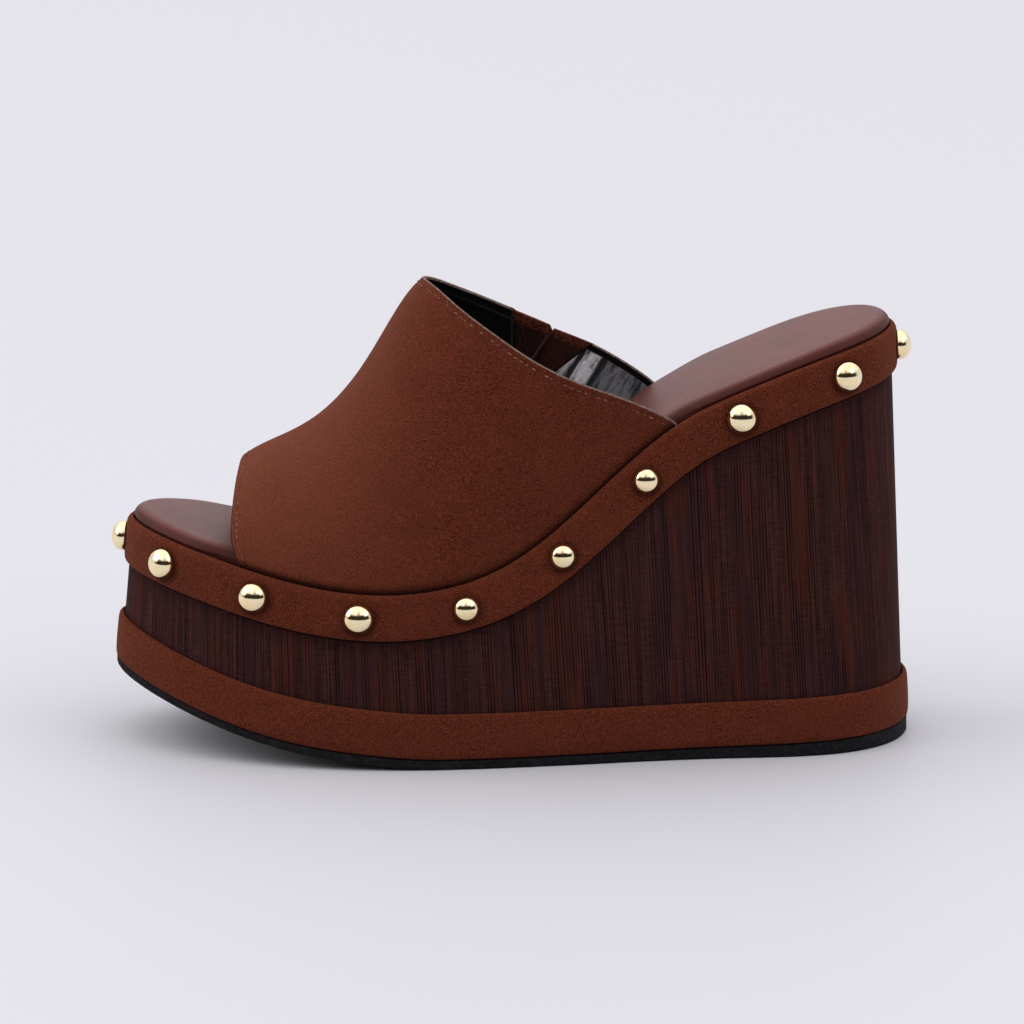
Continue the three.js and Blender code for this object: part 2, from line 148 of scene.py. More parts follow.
def edge_height(along):
    """Height of the upper strip's top edge, which every piece on the footbed follows."""
    return ball_height + (heel_height - ball_height) * spline(stations["rise"], along)


sole_front = -footbed_length / 2 - toe_flare - glue_gap - lower_strip_thickness
sole_back = footbed_length / 2 + heel_flare + glue_gap + lower_strip_thickness


def ground_height(x):
    """The outsole's ground face: flat, with the toe lifted over the front share."""
    along = (x - sole_front) / (sole_back - sole_front)
    return toe_spring * spline(spring_lifts, along / spring_share) * (along < spring_share)


def rubber_height(x):
    """The outsole's top face: its thickness above the ground face."""
    along = (x - sole_front) / (sole_back - sole_front)
    return ground_height(x) + outsole_thickness * spline(stations["rubber"], along)


def flare_at(turn):
    """How far the wall stands out at its foot."""
    return toe_flare + (heel_flare - toe_flare) * along_at(turn)


def wall_point(turn, z, out):
    """A point of the flared wall at height z, moved outwards by out."""
    top = edge_height(along_at(turn))
    foot = rubber_height(plan_point(turn)[0])
    x, y = outline_point(turn, out + flare_at(turn) * (top - z) / (top - foot))
    return np.stack([x, y, z + 0 * x], -1)


def grid_quads(rows, columns, close_rows=False):
    """Corner numbers of the quads between rows that are closed loops."""
    row = np.arange(rows if close_rows else rows - 1)[:, None]
    column = np.arange(columns)[None, :]
    next_row = (row + 1) % rows
    next_column = (column + 1) % columns
    corners = [row * columns + column, row * columns + next_column,
               next_row * columns + next_column, next_row * columns + column]
    return np.stack([corner + 0 * (row + column) for corner in corners], -1).reshape(-1, 4)


def lid_quads(first, count):
    """Strips across a closed loop of count points, each joining the two sides of the loop."""
    i = np.arange(count // 2)
    mirror = (count - i) % count
    next_mirror = count - i - 1
    return first + np.stack([mirror, next_mirror, i + 1, i], -1)


def side_quads(side, count):
    """Strips between the first side of a ring and the one opposite, which ends at count - 1."""
    i = np.arange(side - 1)
    return np.stack([count - 1 - i, count - 2 - i, i + 1, i], -1)


def tube_quads(rows, columns):
    """Rows of closed loops, the first and the last with a lid."""
    return np.concatenate([grid_quads(rows, columns), lid_quads(0, columns),
                           lid_quads((rows - 1) * columns, columns)[:, ::-1]])


def put_uv(mesh, uv):
    """The UV map called surface, from one pair of numbers for each point of the mesh."""
    corners = np.empty(len(mesh.loops), int)
    mesh.loops.foreach_get("vertex_index", corners)
    layer = mesh.uv_layers.new(name="surface")
    layer.data.foreach_set("uv", np.asarray(uv).reshape(-1, 2)[corners].ravel())


def new_piece(name, points, quads, uv, materials, material_of=None):
    """A mesh object from points in millimetres and quads; validate drops a lid's end slivers."""
    mesh = bpy.data.meshes.new(name)
    mesh.from_pydata(np.asarray(points).reshape(-1, 3) * 0.001, [], quads)
    if uv is not None:
        put_uv(mesh, uv)
    if material_of is not None:
        mesh.polygons.foreach_set("material_index", np.asarray(material_of, int))
    for material in materials:
        mesh.materials.append(material)
    mesh.validate()
    mesh.shade_smooth()
    piece = bpy.data.objects.new(name, mesh)
    bpy.context.scene.collection.objects.link(piece)
    return piece


class Shade:
    """A socket of a material, with arithmetic: each operator adds its Math node."""

    def __init__(self, tree, socket):
        self.tree = tree
        self.socket = socket

    def node(self, kind, settings, sockets, output=0):
        """Adds any node: settings first, then its sockets' values or links."""
        node = self.tree.nodes.new("ShaderNode" + kind)
        for name, value in settings.items():
            setattr(node, name, value)
        for name, value in sockets.items():
            if isinstance(value, Shade):
                self.tree.links.new(value.socket, node.inputs[name])
            else:
                node.inputs[name].default_value = value
        return Shade(self.tree, node.outputs[output])

    def math(self, operation, *values):
        return self.node("Math", {"operation": operation}, dict(enumerate((self,) + values)))

    def __add__(self, other):
        return self.math("ADD", other)

    __radd__ = __add__

    def __sub__(self, other):
        return self.math("SUBTRACT", other)

    def __rsub__(self, other):
        return (self * -1).math("ADD", other)

    def __mul__(self, other):
        return self.math("MULTIPLY", other)

    __rmul__ = __mul__

    def between(self, low, high):
        """0 at low, 1 at high, smooth between them and held outside."""
        sockets = {"Value": self, "From Min": low, "From Max": high}
        return self.node("MapRange", {"interpolation_type": "SMOOTHSTEP"}, sockets)

    def band(self, middle, inner, outer):
        """1 up to inner away from middle, and 0 from outer on."""
        return 1 - (self - middle).math("ABSOLUTE").between(inner, outer)

    def part(self, axis):
        """One number of this vector: 0 for x, 1 for y, 2 for z."""
        return self.node("SeparateXYZ", {}, {"Vector": self}, axis)

    def surface(self):
        """The piece's own UV map."""
        return self.node("UVMap", {"uv_map": "surface"}, {})

    def noise(self, scale, detail=2.0, roughness=0.5):
        """Noise of about 0 to 1 over this vector, scale to the metre."""
        sockets = {"Vector": self, "Scale": scale, "Detail": detail, "Roughness": roughness}
        return self.node("TexNoise", {}, sockets)

    def stretched(self, scale, turn=(0, 0, 0)):
        """This vector turned and scaled on each axis."""
        return self.node("Mapping", {}, {"Vector": self, "Scale": scale, "Rotation": turn})

    def mix(self, low, high):
        """Color low where this is 0, high where it is 1."""
        low, high = (end if isinstance(end, Shade) else (*end, 1) for end in (low, high))
        return self.node("Mix", {"data_type": "RGBA"}, {0: self, 6: low, 7: high}, 2)


def new_material(name, specular, others=()):
    """A material with its shader's plain values; returns it and its Object coordinates."""
    material = bpy.data.materials.new(name)
    material.use_nodes = True
    tree = material.node_tree
    for socket, value in {"Specular IOR Level": specular, **dict(others)}.items():
        tree.nodes["Principled BSDF"].inputs[socket].default_value = value
    return material, Shade(tree, None).node("TexCoord", {}, {}, 3)


def finish(material, color, roughness, bump=(), links=()):
    """Links color, roughness and more, and chains (height, distance) pairs into Normal."""
    tree = material.node_tree
    normal = {}
    for height, distance in bump:
        sockets = {"Height": height, "Distance": distance, "Strength": 1.0, **normal}
        normal = {"Normal": height.node("Bump", {}, sockets)}
    links = {"Base Color": color, "Roughness": roughness, **dict(links), **normal}
    for name, value in links.items():
        tree.links.new(value.socket, tree.nodes["Principled BSDF"].inputs[name])
    return material


wrap_dark = (0.0255, 0.0096, 0.0092)
wrap_light = (0.063, 0.0212, 0.0185)
wrap_red = (0.07, 0.0165, 0.0092)
wrap_plum = (0.03, 0.014, 0.0178)
wrap_line = (0.0045, 0.0024, 0.0034)
# Painted shade colour, under the upper strip.
wrap_painted_shade_color = (0.005, 0.002, 0.0016)
line_lean = 0.05
lines_per_metre = 1150
joints_per_metre = 37


def wrap_material():
    """Plum-brown leather look: clouds of red and plum and a faint level hatch under fine upright
    lines, which lean a little towards the heel and are darker together every 27 mm, with painted
    shade under the upper strip. UV x is the way round, UV y the depth below the upper strip."""
    material, place = new_material("wrap", 0.02)
    depth = place.surface().part(1)
    lean = place.surface().part(0) - line_lean * depth
    upright = place.node("CombineXYZ", {}, {"X": lean, "Y": depth})
    grain = upright.stretched((1700, 30, 1)).noise(1.0, 3.0, 0.7)
    level = place.node("CombineXYZ", {}, {"X": lean, "Y": place.part(2)})
    hatch = level.stretched((300, 1100, 1)).noise(1.0, 2.0, 0.6)
    cloud = upright.stretched((120, 16, 1)).noise(1.0, 3.0, 0.6)
    tint = upright.stretched((150, 12, 4)).noise(1.3, 2.0, 0.6)
    sway = upright.stretched((90, 5, 1)).noise(1.0, 1.0, 0.5)
    fading = upright.stretched((500, 14, 1)).noise(1.0, 2.0, 0.6).between(0.4, 0.6)
    line = (lean * lines_per_metre + sway * 3).math("FRACT").band(0.5, 0.08, 0.3)
    joint = (lean * joints_per_metre + sway * 0.15 + 0.25).math("FRACT").band(0.5, 0.025, 0.07)
    streak = line * (fading * 0.75 + joint * 0.35).math("MINIMUM", 0.97)
    color = (grain * 0.7 + hatch * 0.3).between(0.38, 0.61).mix(wrap_dark, wrap_light)
    color = (cloud.between(0.48, 0.62) * 0.5).mix(color, wrap_red)
    color = (tint.between(0.5, 0.62) * 0.55).mix(color, wrap_plum)
    color = streak.mix(color, wrap_line)
    # Painted shade under the upper strip: darkest just below its lower edge, fading over 6 mm.
    painted_strip_shade = (1 - depth.between(0.0002, 0.0009)) * 0.6 + (1 - depth.between(0.0005, 0.006)) * 0.3
    color = painted_strip_shade.mix(color, wrap_painted_shade_color)
    bump = [(grain, 0.0001), (1 - streak, 0.0001)]
    return finish(material, color, 0.75 - 0.15 * grain, bump)


wall_columns = 640
wall_rows = 24
upper_strip_width = 13.6


def edge_slopes(turn):
    """Speeds of the footbed's edge with the turn: in plan, upwards, and both together."""
    speed = np.hypot(*plan_tangent(turn))
    ahead = edge_height(along_at(turn + tiny))
    climb = (ahead - edge_height(along_at(turn - tiny))) / (2 * tiny)
    return speed, climb, np.hypot(speed, climb)


def strip_foot(turn):
    """Height of the upper strip's lower edge above each turn of the wall's foot."""
    start = np.linspace(-0.3, 2 * np.pi + 0.3, 1500)
    speed, climb, pace = edge_slopes(start)
    height = edge_height(along_at(start)) - upper_strip_width * speed / pace
    return np.interp(turn, start + upper_strip_width * climb / pace / speed, height)


def way_along(line):
    """Length from the first point of a line to each."""
    return np.concatenate([[0], np.cumsum(np.linalg.norm(np.diff(line, axis=0), axis=1))])


def wedge_mesh():
    """Rows of the flared wall from the outsole's top to the recess, and a lid at each end."""
    turn = full_turn(wall_columns)
    foot = rubber_height(outline_point(turn, toe_flare)[0]) + glue_gap
    top = edge_height(along_at(turn)) - wedge_recess
    share = np.linspace(0, 1, wall_rows)[:, None]
    z = foot + (top - foot) * share
    points = wall_point(turn, z, 0)
    way = way_along(points[0, :, :2])
    uv = np.stack([way + 0 * share, strip_foot(turn) - z], -1) * 0.001
    quads = tube_quads(wall_rows, wall_columns)
    return new_piece("wedge_wrap", points, quads, uv, [wrap_material()])


wedge = wedge_mesh()
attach(wedge, "root")
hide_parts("wedge")


# The outsole: moulded rubber with a small chamfer at the ground, trimmed with a knife, so that
# its edge is rough at the toe where it lifts. Glued under the wedge and the lower strip.
outsole_inset = 0.5
outsole_chamfer = 0.5
outsole_trim = 0.08
toe_trim = 0.3
toe_trim_share = 0.3
sole_layers = 8
rubber_dark = (0.004, 0.004, 0.005)
rubber_light = (0.018, 0.016, 0.018)
rubber_dust = (0.045, 0.04, 0.04)


def rubber_material():
    """Charcoal rubber with a cut, crumbly edge."""
    material, place = new_material("rubber", 0.12)
    crumb = place.noise(900.0, 4.0, 0.7)
    dust = place.noise(160.0, 3.0, 0.6)
    color = crumb.between(0.35, 0.7).mix(rubber_dark, rubber_light)
    color = (dust.between(0.55, 0.75) * 0.3).mix(color, rubber_dust)
    return finish(material, color, 0.6 + 0.3 * crumb, [(crumb, 0.0006)])


def outsole_mesh():
    """Ground face, chamfer and straight edge as closed loops, with a rough trim at the toe."""
    turn = full_turn(wall_columns)
    reach = flare_at(turn) + glue_gap + lower_strip_thickness - outsole_inset
    rough = np.random.default_rng(7).normal(size=(sole_layers, wall_columns))
    rough = (rough + np.roll(rough, 1, 1) + np.roll(rough, -1, 1)) / 3
    trim = outsole_trim + toe_trim * smooth(toe_trim_share, 0, along_at(turn))
    loops = []
    for layer, share in enumerate(np.linspace(0, 1, sole_layers - 1)):
        x, y = outline_point(turn, reach - trim * np.abs(rough[layer]))
        foot = ground_height(x) + outsole_chamfer
        loops.append(np.stack([x, y, foot + (rubber_height(x) - foot) * share], -1))
    x, y = outline_point(turn, reach - outsole_chamfer)
    loops.insert(0, np.stack([x, y, ground_height(x)], -1))
    quads = tube_quads(sole_layers, wall_columns)
    return new_piece("outsole_rubber", np.array(loops), quads, None, [rubber_material()])


outsole = outsole_mesh()
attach(outsole, "root")
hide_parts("outsole")


# The two strips: suede over a thin board, edges turned and pressed round, glued to the wall.
# The upper one keeps its width square to its own slope and leans in over the wedge's edge.
upper_strip_thickness = 1.4
upper_strip_lean = 0.7
lower_strip_width = 13.6
strip_section = ((0.15, 0), (0.02, 0), (0.002, 0.2), (0.015, 0.6), (0.055, 0.92), (0.14, 1.02),
                 (0.3, 1.05), (0.5, 1.08), (0.7, 1.06), (0.88, 1.0), (0.955, 0.86), (0.99, 0.5),
                 (0.998, 0.2), (0.98, 0))
strip_steps = 40
strip_columns = 720
nap_dark = (0.046, 0.0092, 0.004)
nap_light = (0.188, 0.0425, 0.0195)
tuft_brown = (0.08, 0.0165, 0.0074)
cloud_rust = (0.138, 0.0325, 0.015)
brush_brown = (0.078, 0.0165, 0.0095)
# Painted shade, then painted light, for the suede's UV x.
suede_painted_shade = (0.01, 0.0035, 0.0025)
suede_painted_light = (0.26, 0.08, 0.045)


def suede_material():
    """Rust-brown suede: fine nap speckle, soft clouds, no gloss. UV x above 0 darkens it, painted
    shade in the groove and round the studs, and below 0 lightens it, painted light to the toe."""
    material, place = new_material("suede", 0.06, {
        "Sheen Weight": 0.12, "Sheen Roughness": 0.4, "Sheen Tint": (0.9, 0.4, 0.25, 1)})
    pressed = place.surface().part(0)
    nap = place.noise(2400.0, 3.0, 0.75)
    tuft = place.noise(1000.0, 3.0, 0.65)
    cloud = place.noise(70.0, 4.0, 0.6)
    brush = place.stretched((60, 60, 160), (0, 0.5, 0)).noise(1.0, 3.0, 0.6)
    color = nap.between(0.4, 0.6).mix(nap_dark, nap_light)
    color = (tuft.between(0.35, 0.65) * 0.3).mix(color, tuft_brown)
    color = (cloud.between(0.35, 0.7) * 0.3).mix(color, cloud_rust)
    color = (brush.between(0.45, 0.75) * 0.3).mix(color, brush_brown)
    # UV x: painted shade above 0, in the groove and round the studs; painted light below 0.
    color = pressed.mix(color, suede_painted_shade)
    color = (pressed * -1).mix(color, suede_painted_light)
    return finish(material, color, 0.9 + 0.08 * nap, [(nap, 0.00025), (tuft, 0.0004)])


suede = suede_material()


def upper_strip_point(turn, across, out):
    """Down the wall square to the edge's slope, and leaning in at the top edge."""
    speed, climb, pace = edge_slopes(turn)
    down = across * upper_strip_width
    z = edge_height(along_at(turn)) - down * speed / pace
    lean = upper_strip_lean * np.maximum(1 - down / wedge_recess, 0) ** 2
    return wall_point(turn + down * climb / pace / speed, z, out - lean)


def lower_strip_point(turn, across, out):
    """Straight up the wall from the outsole."""
    foot = rubber_height(outline_point(turn, toe_flare)[0]) + glue_gap
    return wall_point(turn, foot + (1 - across) * lower_strip_width, out)


def strip_mesh(name, thickness, point_at):
    """The section, rounded by a spline, carried once round the wall."""
    share = np.linspace(0, 1, strip_steps)
    across = spline([row[0] for row in strip_section], share)[:, None]
    out = np.maximum(spline([row[1] for row in strip_section], share), 0)[:, None]
    turn = full_turn(strip_columns)[None, :]
    points = point_at(turn, across, glue_gap + out * thickness)
    quads = grid_quads(strip_steps, strip_columns, True)[:, ::-1]
    return new_piece(name, points, quads, None, [suede])


for strip_name, node, thickness, point_at in (
    ("upper_strip_suede", "upper_strip", upper_strip_thickness, upper_strip_point),
    ("lower_strip_suede", "lower_strip", lower_strip_thickness, lower_strip_point),
):
    strip = strip_mesh(strip_name, thickness, point_at)
    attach(strip, "root")
    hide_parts(node)


# The insole: a board padded with foam under smooth leather, which is rolled over its edge. It
# stands on the wedge and against the inside of the upper strip.
roll_foot = -0.5
roll_width = 3.6
roll_lift = 3
insole_lip = 0.7
lip_rise = (-0.1, 0.7)
insole_ease = 0.1
insole_step = 0.06
tuck_inset = upper_strip_lean + insole_ease
upper_wall = 1.8
upper_front = 0.1
upper_back = 0.74
roll_steps = 24
top_steps = 14
top_reach = 0.97
insole_columns = 480
insole_crown = 0.6
insole_dark = (0.108, 0.028, 0.0205)
insole_light = (0.145, 0.038, 0.0285)
insole_wear = (0.092, 0.027, 0.022)
# The rolled edge's darker colour, then a painted highlight on its ridge.
insole_edge_dark = (0.05, 0.011, 0.006)
insole_painted_highlight = (0.17, 0.05, 0.033)


def insole_material():
    """Red-brown leather whose satin coat turns mauve against the light. Where UV x nears 1 on the
    rolled edge it is darker, without the coat, and a painted highlight lightens its ridge."""
    coat = {"Coat Roughness": 0.42, "Coat IOR": 1.4}
    material, place = new_material("insole_leather", 0.12, coat)
    cells = {"Vector": place, "Scale": 1300.0}
    pebble = place.node("TexVoronoi", {"feature": "SMOOTH_F1"}, cells)
    mottle = place.noise(45.0, 4.0, 0.6)
    wear = place.noise(240.0, 3.0, 0.6)
    rolled = place.surface().part(0)
    color = mottle.between(0.3, 0.7).mix(insole_dark, insole_light)
    color = (wear.between(0.5, 0.8) * 0.35).mix(color, insole_wear)
    color = (rolled.between(0, 0.8) * 0.75).mix(color, insole_edge_dark)
    # Painted highlight along the roll's ridge.
    color = (rolled.band(0.4, 0.05, 0.25) * 0.4).mix(color, insole_painted_highlight)
    links = {"Coat Weight": 0.42 * (1 - rolled.between(0, 0.7))}
    bump = [(pebble, 0.00006), (mottle, 0.00015)]
    return finish(material, color, 0.42 + 0.12 * wear, bump, links)


def beside_upper(along):
    """1 where the upper passes down beside the insole, 0 at the toe and the heel."""
    half = insole_step / 2
    front = smooth(upper_front - half, upper_front + half, along)
    return front * (1 - smooth(upper_back - half, upper_back + half, along))


def insole_inset(along):
    """The edge steps in where the upper passes down beside it."""
    room = upper_wall + glue_gap + insole_ease
    return tuck_inset + room * beside_upper(along)


def insole_mesh():
    """Upright side, a quarter-ellipse roll that laps over the strip's edge where the upper
    leaves it free, then loops that close in on the middle line and rise by a fourth power."""
    turn = full_turn(insole_columns)
    along = along_at(turn)

    def layer(inset, rise):
        x, y = outline_point(turn, -insole_inset(along) - inset)
        return np.stack([x, y, edge_height(along) + rise], -1)

    loops = [layer(0, glue_gap - wedge_recess)]
    rolled = [1]
    for angle in np.linspace(0, np.pi / 2, roll_steps):
        rise = roll_foot + (roll_lift - roll_foot) * np.sin(angle)
        lip = insole_lip * smooth(*lip_rise, rise) * (1 - beside_upper(along))
        loops.append(layer(roll_width * (1 - np.cos(angle)) - lip, rise))
        rolled.append(np.cos(angle))
    rim = loops[-1]
    middle = (rim + rim[-np.arange(insole_columns)]) / 2
    for share in np.linspace(0, top_reach, top_steps)[1:]:
        crowned = rim + (middle - rim) * share
        crowned[:, 2] += insole_crown * (1 - (1 - share) ** 4) * np.abs(np.sin(turn))
        loops.append(crowned)
    rows = len(loops)
    uv = np.zeros((rows, insole_columns, 2))
    uv[:len(rolled), :, 0] = np.array(rolled)[:, None]
    quads = tube_quads(rows, insole_columns)
    return new_piece("insole_padding", np.array(loops), quads, uv, [insole_material()])


insole = insole_mesh()
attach(insole, "root")
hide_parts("insole")


# The upper: suede stuck to a black lining, cut open at the toe and the collar, its edges left
# raw and stitched a little way in. It is lasted under the insole, so it ends in the groove.
instep_height = 93.5
ridge_lean = 4
section_fullness = 2.2
instep_sections = (0.126, 0.287, 0.367, 0.469, 0.647, 0.906, 0.952, 0.987, 0.998, 0.982, 0.962,
                   0.89, 0.757)
toe_edge = (0.138, 0.127, 0.128, 0.13, 0.133, 0.137, 0.1415, 0.147, 0.151, 0.154, 0.156, 0.157,
            0.157)
collar_edge = (0.707, 0.614, 0.534, 0.472, 0.422, 0.394, 0.38, 0.384, 0.416, 0.475, 0.547, 0.621,
               0.7)
girth_columns = 260
length_rows = 150
rim_steps = 5
edge_wall = 1.1
stitch_inset = 1.4
stitch_trough = 0.18
stitch_trough_width = 0.55
wall_taper = (2, 12)
groove_height = 1.3
groove_depth = 0.45
# Painted shade in the groove where the upper meets the strip.
groove_painted_shade = 0.85
row_crowding = 0.11
# Painted light on the suede towards the toe, and a little painted shade towards the heel.
toe_light_lift = 0.32
toe_light_span = (10, -85)
heel_painted_shade = 0.06
edge_dark = (0.08, 0.048, 0.04)
edge_light = (0.3, 0.21, 0.165)
# Painted shade on the toe's raw edge.
edge_painted_shade = (0.022, 0.01, 0.008)
lining_matt = (0.003, 0.003, 0.004)
# Glossy black, greyer with a painted sheen.
lining_gloss_and_sheen = (0.03, 0.032, 0.037)
# Painted reflection on the glossy lining.
lining_reflection_color = (0.92, 0.92, 0.97)
lining_piping = (0.05, 0.052, 0.047)


def section_height(along):
    """Height of the skin's ridge over the footbed's edge."""
    share = (along - upper_front) / (upper_back - upper_front)
    return instep_height * spline(instep_sections, share)


def skin_point(along, angle):
    """Super-ellipse over the footbed: 0 at the outer feather line, pi at the inner one."""
    height = section_height(along)
    power = 2 / section_fullness
    sine = np.maximum(np.sin(angle), 0)
    cosine = np.cos(angle)
    turn = np.arccos(1 - 2 * along)
    half_width = np.sin(turn) / 2 * spline(width_factors, along) - tuck_inset
    sideways = -half_width * np.sign(cosine) * np.abs(cosine) ** power
    return np.stack([footbed_length * (along - 0.5),
                     spline(shifts, along) + sideways + ridge_lean * sine**2,
                     edge_height(along) + height * sine**power], -1)


def unit(vectors):
    """The vectors at length one."""
    return vectors / np.linalg.norm(vectors, axis=-1, keepdims=True)


def skin_normal(along, angle):
    """Outward normal of the skin, from its slopes along the foot and round it."""
    inside = np.clip(angle, 0.02, np.pi - 0.02)
    forward = skin_point(along + tiny, inside) - skin_point(along - tiny, inside)
    round_foot = skin_point(along, inside + tiny) - skin_point(along, inside - tiny)
    return unit(np.cross(forward, round_foot))


def upper_edge_material():
    """The raw edge: greyish-brown core with loose fibres, with painted shade darkening it at the
    toe.
    """
    material, place = new_material("cut_edge", 0.2)
    fibre = place.noise(1400.0, 3.0, 0.7)
    color = fibre.between(0.3, 0.7).mix(edge_dark, edge_light)
    # Painted shade: the raw edge darker towards the toe.
    color = place.part(0).between(-0.07, -0.05).mix(edge_painted_shade, color)
    return finish(material, color, 0.8 + 0.1 * fibre, [(fibre, 0.0003)])


def lining_material():
    """Black coated lining: matt in front of the gore; behind it glossy black with a painted grey
    sheen, crinkled, with two slanting folds and a pale painted reflection brightest in a slanting
    band, and a dull turned-in border."""
    material, place = new_material("lining", 0.12)
    x = place.part(0)
    z = place.part(2)
    edge = place.surface().part(1)
    slope = x - 0.6 * z
    slanting = place.node("CombineXYZ", {}, {"X": slope * 420, "Y": (z + x) * 90})
    crinkle = slanting.noise(1.0, 3.0, 0.6)
    grain = place.noise(900.0, 2.0, 0.5)
    shine = x.between(0.01, 0.02) * edge.between(0.0011, 0.0015)
    back_fold = slope.band(-0.0352, 0.0006, 0.0018)
    folds = slope.band(-0.0432, 0.0005, 0.0013).math("MAXIMUM", back_fold)
    # Where the painted reflection is brightest: a slanting band.
    reflection_band = slope.between(-0.0485, -0.0455) * (1 - slope.between(-0.0365, -0.0345))
    # Painted reflection on the glossy black, broken by the folds.
    painted_reflection = shine * (1 - folds) * crinkle.between(0.3, 0.56) * (0.2 + 0.8 * reflection_band)
    piping = edge.between(0.0017, 0.002) * (1 - edge.between(0.0023, 0.0027)) * (1 - shine)
    opening = x.between(0.0009, 0.0012) * (1 - x.between(0.002, 0.0022))
    # Greyer where glossy: black with a painted sheen.
    color = shine.mix(lining_matt, lining_gloss_and_sheen)
    color = painted_reflection.mix(color, lining_reflection_color)
    color = (piping * 0.5 + opening * 0.7).mix(color, lining_piping)
    roughness = 0.72 - 0.4 * shine + 0.1 * grain
    bump = [(folds * shine * -1, 0.0008), (crinkle * shine, 0.0012), (grain, 0.0001)]
    return finish(material, color, roughness, bump, {"Metallic": 0.1 * painted_reflection})


def edge_slant(edge, girth):
    """Sine of the angle between an edge and the way along the foot: it turns a distance along the
    foot into one square to the edge."""
    low = np.maximum(girth - tiny, 0)
    high = np.minimum(girth + tiny, 1)
    edge_way = (skin_point(spline(edge, high), high * np.pi)
                - skin_point(spline(edge, low), low * np.pi))
    at = spline(edge, girth)
    foot_way = skin_point(at + tiny, girth * np.pi) - skin_point(at - tiny, girth * np.pi)
    return np.linalg.norm(np.cross(unit(edge_way), unit(foot_way)), axis=-1)


def upper_rings():
    """A closed ring of points for each girth: out along the skin, round the collar's raw edge,
    back along the lining and round the toe's raw edge, with points closer together near both
    edges. With each point go its suede's painted shade and light and its way to the edge."""
    girth = np.linspace(0, 1, girth_columns)[:, None]
    toe = spline(toe_edge, girth)
    collar = spline(collar_edge, girth)
    even = np.linspace(0, 1, length_rows)[None, :]
    share = even - row_crowding * np.sin(2 * np.pi * even)
    along = toe + (collar - toe) * share
    from_toe = (along - toe) * footbed_length * edge_slant(toe_edge, girth)
    from_collar = (collar - along) * footbed_length * edge_slant(collar_edge, girth)
    edge_way = np.minimum(from_toe, from_collar)
    angle = girth * np.pi + 0 * share
    skin = skin_point(along, angle)
    normal = skin_normal(along, angle)
    wall = edge_wall + (upper_wall - edge_wall) * smooth(*wall_taper, edge_way)
    trough_share = (edge_way - stitch_inset) / stitch_trough_width
    trough = stitch_trough * np.exp(-(trough_share**2))
    rise = skin[..., 2] - edge_height(along)
    groove = np.exp(-((rise / groove_height) ** 2))
    outer = skin - normal * (trough + groove_depth * groove)[..., None]
    inner = skin - normal * wall[..., None]
    rims = []
    for end, side in ((-1, 1), (0, -1)):
        way = unit(skin[:, end] - skin[:, end - side])[:, None]
        phi = np.linspace(0, np.pi, rim_steps + 2)[1:-1][None, :, None]
        depth = wall[:, end][:, None, None] / 2
        rims.append(skin[:, end][:, None] + way * depth * np.sin(phi)
                    - normal[:, end][:, None] * depth * (1 - np.cos(phi)))
    bare = np.zeros((girth_columns, rim_steps))
    distance = np.concatenate([edge_way, bare, edge_way[:, ::-1], bare], 1) * 0.001
    # Painted light towards the toe and a little painted shade behind it, kept out of the groove.
    painted_toe_light = (toe_light_lift * smooth(*toe_light_span, skin[..., 0]) - heel_painted_shade) * (1 - groove)
    # The suede's UV x: painted shade in the groove, less the painted light towards the toe.
    shade = np.concatenate([groove * groove_painted_shade - painted_toe_light, bare, 0 * groove, bare], 1)
    rings = np.concatenate([outer, rims[0], inner[:, ::-1], rims[1][:, ::-1]], 1)
    return rings, np.stack([shade, distance], -1)


def upper_mesh(materials):
    """The rings side by side round the foot, with two more that go down into the groove."""
    rings, uv = upper_rings()
    ends = []
    for ring in (rings[0], rings[-1]):
        feather = edge_height(ring[:, 0] / footbed_length + 0.5)
        ring[:, 2] = feather
        end = ring.copy()
        end[:, 2] = feather - wedge_recess + glue_gap
        ends.append(end)
    rings = np.concatenate([ends[:1], rings, ends[1:]])
    rows, count = rings.shape[:2]
    quads = grid_quads(rows, count)[:, ::-1]
    column = np.tile(np.arange(count), rows - 1)
    limits = (length_rows - 1, length_rows + rim_steps, 2 * length_rows + rim_steps - 1)
    zone = np.array([0, 1, 2, 1])[np.searchsorted(limits, column, side="right")]
    lid = side_quads(length_rows, 2 * length_rows + rim_steps)
    far = (rows - 1) * count
    quads = np.concatenate([quads, lid[:, ::-1], far + lid])
    zone = np.concatenate([zone, np.ones(2 * len(lid), int)])
    uv = np.concatenate([uv[:1], uv, uv[-1:]])
    return new_piece("upper_suede", rings, quads, uv, materials, zone)


cut_edge = upper_edge_material()
lining = lining_material()
upper = upper_mesh([suede, cut_edge, lining])


# The gore: two tabs of woven elastic under a suede face, let into the inner flank so that the
# collar gives. They meet at a nick in the top edge, and are sewn behind the opening's edges.
gore_front = 2
gore_top_width = 23
gore_depth = 26.5
gore_foot_width = 3
gore_wall = 1.2
gore_proud = 0.6
gore_nick = 1.5
nick_spread = 0.4
nick_x = gore_front + gore_top_width / 2
gore_steps = (90, 70)
outline_rounds = 40
gore_tuck = 1.2
sharp_degrees = 50
gore_hem = 2.6
tab_drop = 0.8
drop_span = (0.85, 1)
fold_slope = 0.48
fold_step = 0.55
fold_half = 0.35
fold_trough = 0.5
fold_trough_width = 0.8
fold_fade = (0.1, 0.6)
rim_depths = (0.5, 0.9)
tab_depth = 0.25
rim_span = (-0.35, 0.6)
rim_thinning = 0.15
elastic_dark = (0.012, 0.0055, 0.0055)
elastic_light = (0.04, 0.015, 0.013)
elastic_cloud = (0.06, 0.018, 0.0125)
hem_dark = (0.06, 0.0125, 0.007)
hem_light = (0.16, 0.042, 0.024)
hem_thread = (0.012, 0.006, 0.005)
# Painted highlight down the fold.
fold_painted_highlight = (0.12, 0.06, 0.055)
dashes_per_metre = 480


